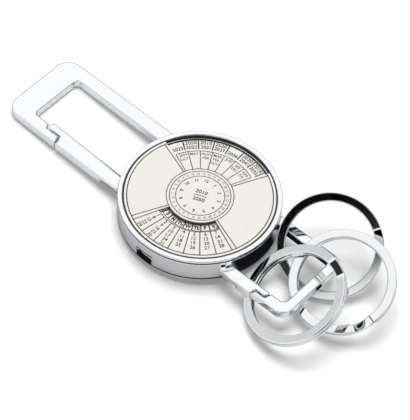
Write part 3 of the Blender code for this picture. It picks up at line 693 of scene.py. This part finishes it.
class KEYRING_OT_seams(bpy.types.Operator):
    """Fill the seams of the case and line the thumb slots in black: painted shade in the gaps and inside the
    slots.
    """
    bl_idname = "keyring.seams"
    bl_label = "Seams"

    def execute(self, context):
        sizes = context.scene.keyring_seams
        bezel = context.scene.keyring_bezel
        black = finishes()["Painted gap shade"]
        outer = bezel.outer - sizes.setback
        # Each ring paints the shade in one gap: under the wall, under the bezel and round the plate.
        # The last number is how far the seam's edge hangs down over the
        # cover's bevelled edge.
        rings = (
            ("seam_cover", (sizes.wall_inner + SLACK, outer),
             (sizes.cover_top + SLACK, sizes.wall_bottom - SLACK), sizes.cover_edge - sizes.setback),
            ("seam_bezel", (sizes.wall_inner, outer),
             (sizes.wall_top - INTO_WALL, bezel.bottom + INTO_BEZEL), 0.0),
            ("seam_plate", (sizes.plate_rim + SLACK, bezel.inner - SLACK),
             (bezel.bottom, sizes.groove_top), 0.0),
        )
        for name, (near, far), (low, high), skirt in rings:
            bevel = [(far - skirt, low)] if skirt else []
            profile = [(near, low)] + bevel + [(far, low - skirt), (far, high), (near, high)]
            points, faces = turned_surface(profile, SEAM_STEPS)
            dress(new_piece(name, to_table(points), faces, "case"), black)
        # Black sheets on the cover in each thumb slot paint the shade inside it.
        half = sizes.slot_width / 2 - SLACK
        low = sizes.cover_top + SLACK
        across = np.linspace(-half, half, SLOT_SHADE_POINTS)
        for name, side in (("slot_shade_near", -1.0), ("slot_shade_far", 1.0)):
            near = side * np.sqrt((sizes.wall_inner - SLOT_SHADE_REACH) ** 2 - across ** 2)
            far = side * np.sqrt(outer ** 2 - across ** 2)
            points, faces = band(np.stack([across, near], -1), np.stack([across, far], -1),
                                 low, low + SLOT_SHADE_THICKNESS)
            if side > 0:
                faces = [face[::-1] for face in faces]
            dress(new_piece(name, to_table(points), faces, "case"), black)
        return {"FINISHED"}


# Print.

YEARS = (("", "2023"), ("2050", "2022"), ("2010", "2021"), ("2020", "2037"),
         ("", "2036"), ("2030", "2041"), ("2018", "2035"))
MONTHS = (("JAN", "OCT"), ("MAY",), ("AUG", "FEB"), ("MAR", "FEB", "NOV"),
          ("JUN",), ("SEP", "DEC"), ("APR", "JUL"))
DAYS = ("S", "M", "Tu", "W", "Th", "F", "S")

# Types: radius of the first row and the step to the next row, size of the
# first row and the step to the next, in millimetres, the weight that is
# added, and 1 where the type's top points outwards, or -1 inwards.
TYPES = {
    "ring number": (6.7, 0.0, 0.62, 0.0, 0.01, 1),
    "inner number": (4.75, 0.0, 0.85, 0.0, 0.03, 1),
    "upper year": (1.15, 0.0, 1.1, 0.0, 0.02, 1),
    "lower year": (1.15, 0.0, 1.1, 0.0, 0.02, -1),
    "month": (12.9, -1.2, 0.80, -0.05, 0.012, 1),
    "date": (11.65, 1.33, 1.0, 0.0, 0.02, -1),
    "year": (17.02, -1.36, 1.08, -0.06, 0.02, 1),
    "day": (9.2, 0.0, 0.95, 0.0, 0.055, -1),
}

# A capital's height over the type size.
CAPITAL = 0.73

# Radii on the plate: the circles round the middle, the inner end of the
# months' columns, their arc, the dates' arc and the inner end of theirs.
CIRCLES = (8.2 * MM, 7.45 * MM, 5.95 * MM)
MIDDLE = 8.2 * MM
MONTH_ARC = 13.75 * MM
DATE_ARC = 10.95 * MM
DATE_START = 10.9 * MM

# The bar between the two years in the middle.
DASH = 3.4 * MM

# The day window: radius of its inked edge; radius, width and room at either
# end, in degrees, of the black film on its wall, which paints the wall's shade.
WINDOW_EDGE = 8.41 * MM
WALL_RADIUS = 8.53 * MM
WALL_WIDTH = 0.03 * MM
WALL_ROOM = 0.3

# Radii on the dial: where the years' and the days' borders start and end,
# and their circles.
YEAR_BORDER = (15.0 * MM, 17.8 * MM)
YEAR_CIRCLE = 17.78 * MM
DAY_BORDER = (8.3 * MM, 10.05 * MM)
DAY_CIRCLE = 10.1 * MM

# Sections of an arc are about this long, in degrees.
ARC_STEP = 2.0

WORDS = {}


def word_mesh(text, size, weight):
    """Points and faces of a word in the plain built-in face, centred on its
    own box, with its film from z = -0.5 to z = 0.5. Each word is made once."""
    key = (text, weight)
    if key not in WORDS:
        curve = bpy.data.curves.new("word", "FONT")
        curve.body = text
        curve.align_x = "CENTER"
        curve.size = 1.0
        curve.extrude = 0.5
        curve.offset = weight
        curve.resolution_u = 3
        item = bpy.data.objects.new("word", curve)
        bpy.context.scene.collection.objects.link(item)
        bpy.context.view_layer.update()
        mesh = bpy.data.meshes.new_from_object(item.evaluated_get(bpy.context.evaluated_depsgraph_get()))
        work = bmesh.new()
        work.from_mesh(mesh)
        bmesh.ops.remove_doubles(work, verts=work.verts, dist=1e-5)
        work.to_mesh(mesh)
        work.free()
        points = np.empty(len(mesh.vertices) * 3)
        mesh.vertices.foreach_get("co", points)
        faces = [tuple(p.vertices) for p in mesh.polygons]
        bpy.data.objects.remove(item)
        bpy.data.curves.remove(curve)
        bpy.data.meshes.remove(mesh)
        WORDS[key] = (points.reshape(-1, 3), faces)
    points, faces = WORDS[key]
    centred = points - (points.min(0) + points.max(0)) / 2
    return centred * np.array([size / CAPITAL, size / CAPITAL, 1.0]), faces


class Print:
    """Collects closed ink marks, all in case coordinates, into one mesh."""

    def __init__(self, level, height):
        self.level = level
        self.height = height
        self.points = []
        self.faces = []
        self.count = 0

    def add(self, points, faces):
        self.points.append(np.asarray(points))
        self.faces += [tuple(int(i) + self.count for i in face) for face in faces]
        self.count += len(points)

    def slab(self, inner, outer):
        """A band between two rows of plan points, one ink film thick."""
        self.add(*band(inner, outer, self.level, self.level + self.height))

    def arc(self, radius, start, end, width):
        """An arc about the case axis, its angles in degrees from +X."""
        n = max(int(abs(end - start) / ARC_STEP), 3)
        t = np.radians(np.linspace(start, end, n))
        ray = np.stack([np.cos(t), np.sin(t)], -1)
        self.slab(ray * (radius - width / 2), ray * (radius + width / 2))

    def circle(self, radius, width):
        self.arc(radius, 0.0, 180.0, width)
        self.arc(radius, 180.0, 360.0, width)

    def spoke(self, angle, inner, outer, width):
        """A radial line."""
        a = math.radians(angle)
        ray = np.array([math.cos(a), math.sin(a)])
        across = np.array([-math.sin(a), math.cos(a)])
        line = np.stack([ray * inner, ray * outer])
        self.slab(line + across * width / 2, line - across * width / 2)

    def word(self, kind, text, angle, row=0):
        """Text in one of the types, centred on its row's radius."""
        radius, radius_step, size, size_step, weight, upright = TYPES[kind]
        radius = (radius + radius_step * row) * MM
        points, faces = word_mesh(text, (size + size_step * row) * MM, weight)
        a = math.radians(angle)
        ray = np.array([math.cos(a), math.sin(a)])
        up = ray * upright
        right = np.array([up[1], -up[0]])
        plan = ray * radius + points[:, :1] * right + points[:, 1:2] * up
        lift = np.where(points[:, 2:3] > 0.0, self.height, 0.0) + self.level
        self.add(np.hstack([plan, lift]), faces)

    def piece(self, name, body, slot, material):
        made = new_piece(name, to_table(np.concatenate(self.points)), self.faces, body)
        dress(made, material)
        return made


class KEYRING_OT_plate_print(bpy.types.Operator):
    """Print the months, the dates and the borders on the fixed plate."""
    bl_idname = "keyring.plate_print"
    bl_label = "Plate print"

    def execute(self, context):
        sizes = context.scene.keyring_print
        made = finishes()
        dress(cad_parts["window_plate"], made["Cream print"])
        twelve = math.degrees(sizes.twelve)
        fine = sizes.line
        border, date_line, wing_line, window_line = fine * 1.3, fine * 1.25, fine * 1.2, fine * 0.9
        ink = Print(sizes.plate_top, sizes.ink_height)
        left, right = twelve + HALF_SECTOR, twelve - HALF_SECTOR
        low_left, low_right = twelve + 180.0 - HALF_SECTOR, twelve + 180.0 + HALF_SECTOR
        rim = sizes.outline_radius
        # Border, broken by the year window.
        ink.arc(rim, left + WINDOW_MARGIN, right + 360.0 - WINDOW_MARGIN, border)
        # Numbered ring round the middle, and plain numbers inside it.
        for radius in CIRCLES:
            ink.circle(radius, fine)
        for number in range(1, 32):
            ink.word("ring number", str(number), twelve - (number - 16) * 360.0 / 31)
        for number in range(1, 13):
            ink.word("inner number", str(number), twelve - number * 30.0)
        ink.word("upper year", "2010", twelve)
        ink.word("lower year", "2050", twelve + 180.0)
        ink.spoke(twelve - 90.0, -DASH / 2, DASH / 2, fine)
        # Months.
        ink.arc(MONTH_ARC, left, right, fine)
        for k in range(8):
            ink.spoke(left - k * COLUMN, MIDDLE, MONTH_ARC, fine)
        for k, names in enumerate(MONTHS):
            for row, name in enumerate(names):
                ink.word("month", name, left - (k + 0.5) * COLUMN, row)
        # Dates.
        ink.arc(DATE_ARC, low_left, low_right, fine)
        for k in range(8):
            ink.spoke(low_left + k * COLUMN, DATE_START, rim, date_line)
        for day in range(1, 32):
            row, column = divmod(day - 1, 7)
            ink.word("date", str(day), low_left + (column + 0.5) * COLUMN, row)
        # Plain wings, bordered by radial lines.
        for angle in (left + WING, right - WING, low_left - WING, low_right + WING):
            ink.spoke(angle, MIDDLE, rim, wing_line)
        # Edge of the day window.
        ink.arc(WINDOW_EDGE, low_left, low_right, window_line)
        for angle in (low_left, low_right):
            ink.spoke(angle, MIDDLE, DATE_ARC, fine)
        ink.piece("plate_print", "case", "dial", made["Black ink and window wall shade"])
        # The wall on the day window's inner side is black too: a film of painted shade.
        bottom = context.scene.keyring_bezel.bottom
        wall = Print(bottom, sizes.plate_top - bottom)
        wall.arc(WALL_RADIUS, low_left + WALL_ROOM, low_right - WALL_ROOM, WALL_WIDTH)
        wall.piece("day_window_wall_shade", "case", "dial", made["Black ink and window wall shade"])
        return {"FINISHED"}


class KEYRING_OT_dial_print(bpy.types.Operator):
    """Print the years and the day names on the turning dial."""
    bl_idname = "keyring.dial_print"
    bl_label = "Dial print"

    def execute(self, context):
        sizes = context.scene.keyring_print
        made = finishes()
        dress(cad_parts["year_dial"], made["Dial moulding"])
        ink = Print(sizes.dial_top, sizes.ink_height)
        bold = sizes.bold
        year_line, day_line = bold * 0.7, bold * 0.6
        turned = math.degrees(sizes.twelve) + DIAL_TURN
        left = turned + HALF_SECTOR
        low_left = turned + 180.0 - HALF_SECTOR
        for k in range(COLUMNS):
            ink.spoke(left - k * COLUMN, *YEAR_BORDER, bold)
        ink.circle(YEAR_CIRCLE, year_line)
        for k in range(COLUMNS):
            for row, year in enumerate(YEARS[k % 7]):
                if year:
                    ink.word("year", year, left - (k + 0.5) * COLUMN, row)
        for k in range(COLUMNS):
            ink.spoke(low_left + k * COLUMN, *DAY_BORDER, bold)
            ink.word("day", DAYS[k % 7], low_left + (k + 0.5) * COLUMN)
        ink.circle(DAY_CIRCLE, day_line)
        ink.piece("dial_print", "year_dial", "dial", made["Black ink and window wall shade"])
        return {"FINISHED"}


# Stage.

# The photograph's camera in case coordinates: azimuth, elevation and roll in
# degrees, the point it looks at and its distance. Then the sensor's width in
# millimetres, and the focal length over the picture's width.
CAMERA_ANGLES = (38.776, 52.999, 4.034)
CAMERA_AIM = np.array([0.783, 1.274, 1.0]) * MM
CAMERA_DISTANCE = 0.5671
SENSOR_WIDTH = 36.0
FOCAL_SHARE = 2324.7 / 410.0

# Lamps: name, place, width in metres and power in watts. They face the
# object's middle.
LAMPS = (("key", (-0.09, 0.12, 0.90), 0.55, 7.35), ("fill", (0.5, -0.5, 0.6), 0.6, 0.3))

# The floor as the camera sees it, and how bright it glows: the share that is
# left in mirrors, and the share at the middle, which grows to 1 between two
# distances.
PAPER = (0.95, 0.95, 0.95, 1.0)
MIRRORED_GLOW = 0.9
MIDDLE_GLOW = 0.13
GLOW_REACH = (0.10, 0.40)

# The floor as mirrors see it, in painted greys darker than the paper: its grey
# near the case, painted shade, and its grey beyond, and the distances between
# which they change; then the colour of the black corner, a painted dark
# reflection, its place, and the distances over which it ends.
NEAR_PAINTED_SHADE = (0.47, 0.455, 0.47, 1.0)
FAR_GREY = (0.66, 0.66, 0.67, 1.0)
GREY_REACH = (25.0 * MM, 30.0 * MM)
PAINTED_DARK_CORNER = (0.01, 0.01, 0.011, 1.0)
CORNER = (27.0 * MM, 2.0 * MM)
CORNER_REACH = (9.0 * MM, 12.0 * MM)

# The tent's dark lower edge stands higher behind the object: its height is
# measured along this direction. The tent grows from dark to full brightness
# between two heights.
TENT_RISE = (0.0, -0.45, 1.0)
TENT_EDGE = (0.20, 0.45)
TENT_DARK = 0.02

# The dark opening overhead: direction, wide and tight angle in degrees, and
# the brightness inside. It ends in a straight edge: the direction across
# that edge, its place along the direction, and half of its softness.
OPENING = ((0.22, -0.52, 0.826), 24.0, 18.0, 0.0)
FLAG_SIDE = (0.798, -0.322, -0.501)
FLAG_EDGE = -0.048
FLAG_SOFT = 0.003

# More round patches of the tent, given like the opening: a grey one, a
# brighter one and three dark ones.
TENT_PATCHES = (
    ((-0.773, -0.161, 0.614), 3.2, 1.0, 0.70),
    ((-0.43, 0.47, 0.77), 30.0, 6.0, 1.08),
    ((0.66, -0.46, 0.594), 21.0, 17.0, 0.0),
    ((0.42, -0.58, 0.698), 9.5, 8.0, 0.0),
    ((-0.44, -0.36, 0.823), 10.0, 9.0, 0.03),
)

# The tent's even light on everything but mirrors.
TENT_LIGHT = 0.22


def mirrored_floor(tree, low):
    """What polished metal sees of the floor, painted in: grey, with painted shade
    near the case and a painted dark reflection in the corner between the case
    and the rings."""
    place = place_on(tree)
    away = measure(tree, "DISTANCE", place, (0.0, 0.0, low))
    grey = blend(tree, ramp(tree, away, *GREY_REACH), NEAR_PAINTED_SHADE, FAR_GREY)
    gap = measure(tree, "DISTANCE", place, CORNER + (low,))
    return blend(tree, ramp(tree, gap, *CORNER_REACH), PAINTED_DARK_CORNER, grey)


def lay_floor(scene):
    """A square of paper under the object."""
    sizes = scene.keyring_stage
    low = cad_box[0][2] - sizes.floor_drop
    half = sizes.floor_size / 2
    mesh = bpy.data.meshes.new("floor")
    mesh.from_pydata([(-half, -half, low), (half, -half, low), (half, half, low), (-half, half, low)],
                     [], [(0, 1, 2, 3)])
    floor = bpy.data.objects.new("floor", mesh)
    scene.collection.objects.link(floor)
    paper, tree, shader = new_material("Studio paper")
    shader.inputs["Roughness"].default_value = 0.9
    shader.inputs["Specular IOR Level"].default_value = 0.1
    path = tree.nodes.new("ShaderNodeLightPath").outputs
    part = maths(tree, "MULTIPLY", path["Is Glossy Ray"], MIRRORED_GLOW)
    seen = maths(tree, "MAXIMUM", path["Is Camera Ray"], part)
    # Mirrors see the painted floor reflection; the camera sees the plain paper.
    tone = blend(tree, path["Is Glossy Ray"], PAPER, mirrored_floor(tree, low))
    fade = ramp(tree, measure(tree, "LENGTH", place_on(tree)), *GLOW_REACH, MIDDLE_GLOW)
    tree.links.new(tone, shader.inputs["Base Color"])
    tree.links.new(tone, shader.inputs["Emission Color"])
    tree.links.new(maths(tree, "MULTIPLY", seen, fade), shader.inputs["Emission Strength"])
    mesh.materials.append(paper)


def set_camera(scene):
    """The photograph's camera, turned from the case's frame to the table's."""
    azimuth, elevation, roll = (math.radians(angle) for angle in CAMERA_ANGLES)
    sa, ca, se, ce = math.sin(azimuth), math.cos(azimuth), math.sin(elevation), math.cos(elevation)
    back = np.array([sa * ce, -ca * ce, se])
    right = np.array([ca, sa, 0.0])
    up = np.cross(back, right)
    level = right * math.cos(roll) + up * math.sin(roll)
    upright = -right * math.sin(roll) + up * math.cos(roll)
    place = CAMERA_AIM + back * CAMERA_DISTANCE
    lens = bpy.data.cameras.new("camera")
    lens.sensor_fit = "HORIZONTAL"
    lens.sensor_width = SENSOR_WIDTH
    lens.lens = FOCAL_SHARE * SENSOR_WIDTH
    lens.clip_start = 0.01
    lens.clip_end = 10.0
    camera = bpy.data.objects.new("camera", lens)
    columns = [to_table(column) for column in (level, upright, back, place)]
    camera.matrix_world = Matrix([[column[row] for column in columns] for row in range(3)]
                                 + [[0.0, 0.0, 0.0, 1.0]])
    scene.collection.objects.link(camera)
    scene.camera = camera


def tent_patch(tree, centre, wide, tight, inside):
    """A round patch of the tent about a direction: 1 outside the wide
    angle, the given value inside the tight one, smooth between."""
    toward = measure(tree, "DOT_PRODUCT", place_on(tree, "Generated"), centre)
    return ramp(tree, toward, math.cos(math.radians(wide)), math.cos(math.radians(tight)), 1.0, inside)


def hang_tent(scene):
    """A white tent. Polished metal also sees its dark lower edge and the
    dark opening overhead that the camera looks through."""
    world = bpy.data.worlds.new("Studio")
    world.use_nodes = True
    scene.world = world
    tree = world.node_tree
    light = tree.nodes["Background"]
    light.inputs["Color"].default_value = (1.0, 1.0, 1.0, 1.0)
    toward = place_on(tree, "Generated")
    edge = ramp(tree, measure(tree, "DOT_PRODUCT", toward, TENT_RISE), *TENT_EDGE, TENT_DARK)
    flag = measure(tree, "DOT_PRODUCT", toward, FLAG_SIDE)
    side = ramp(tree, flag, FLAG_EDGE - FLAG_SOFT, FLAG_EDGE + FLAG_SOFT)
    tent = maths(tree, "MAXIMUM", tent_patch(tree, *OPENING), side)
    for value in [edge] + [tent_patch(tree, *row) for row in TENT_PATCHES]:
        tent = maths(tree, "MULTIPLY", tent, value)
    path = tree.nodes.new("ShaderNodeLightPath").outputs
    mirrored = blend(tree, path["Is Glossy Ray"], TENT_LIGHT, tent, "FLOAT")
    backdrop = blend(tree, path["Is Camera Ray"], mirrored, 1.0, "FLOAT")
    tree.links.new(backdrop, light.inputs["Strength"])


def hang_lamps(scene):
    """Square lamps that light the object but don't show in its mirrors."""
    for name, spot, size, watts in LAMPS:
        light = bpy.data.lights.new(name, "AREA")
        light.shape = "SQUARE"
        light.size = size
        light.energy = watts
        lamp = bpy.data.objects.new(name, light)
        lamp.location = spot
        lamp.rotation_euler = (-Vector(spot)).to_track_quat("-Z", "Y").to_euler()
        lamp.visible_glossy = False
        scene.collection.objects.link(lamp)


class KEYRING_OT_stage(bpy.types.Operator):
    """Lay the floor, set the camera and hang the tent and the lamps."""
    bl_idname = "keyring.stage"
    bl_label = "Stage"

    def execute(self, context):
        scene = context.scene
        lay_floor(scene)
        set_camera(scene)
        hang_tent(scene)
        hang_lamps(scene)
        scene.view_settings.view_transform = "Standard"
        return {"FINISHED"}


# Add-on.

class KEYRING_PT_panel(bpy.types.Panel):
    """Steps of the keyring's dressing."""
    bl_idname = "KEYRING_PT_panel"
    bl_label = "Keyring"
    bl_space_type = "VIEW_3D"
    bl_region_type = "UI"
    bl_category = "Keyring"

    def draw(self, context):
        layout = self.layout
        for operator in OPERATORS:
            layout.operator(operator.bl_idname)


GROUPS = (
    ("keyring_print", CasePrint), ("keyring_rings", RingSizes), ("keyring_bezel", BezelSizes),
    ("keyring_seams", SeamSizes), ("keyring_finish", Finish), ("keyring_stage", StageSizes),
)
OPERATORS = (
    KEYRING_OT_metalwork, KEYRING_OT_springs, KEYRING_OT_bezel, KEYRING_OT_seams,
    KEYRING_OT_split_rings, KEYRING_OT_plate_print, KEYRING_OT_dial_print, KEYRING_OT_stage,
)


def register():
    for name, kind in GROUPS:
        bpy.utils.register_class(kind)
        setattr(bpy.types.Scene, name, PointerProperty(type=kind))
    for kind in OPERATORS + (KEYRING_PT_panel,):
        bpy.utils.register_class(kind)


def unregister():
    for kind in (KEYRING_PT_panel,) + OPERATORS[::-1]:
        bpy.utils.unregister_class(kind)
    for name, kind in GROUPS[::-1]:
        delattr(bpy.types.Scene, name)
        bpy.utils.unregister_class(kind)


def main():
    register()
    bpy.ops.keyring.metalwork()
    bpy.ops.keyring.springs()
    bpy.ops.keyring.bezel()
    bpy.ops.keyring.seams()
    bpy.ops.keyring.split_rings()
    bpy.ops.keyring.plate_print()
    bpy.ops.keyring.dial_print()
    bpy.ops.keyring.stage()


if __name__ == "__main__":
    main()
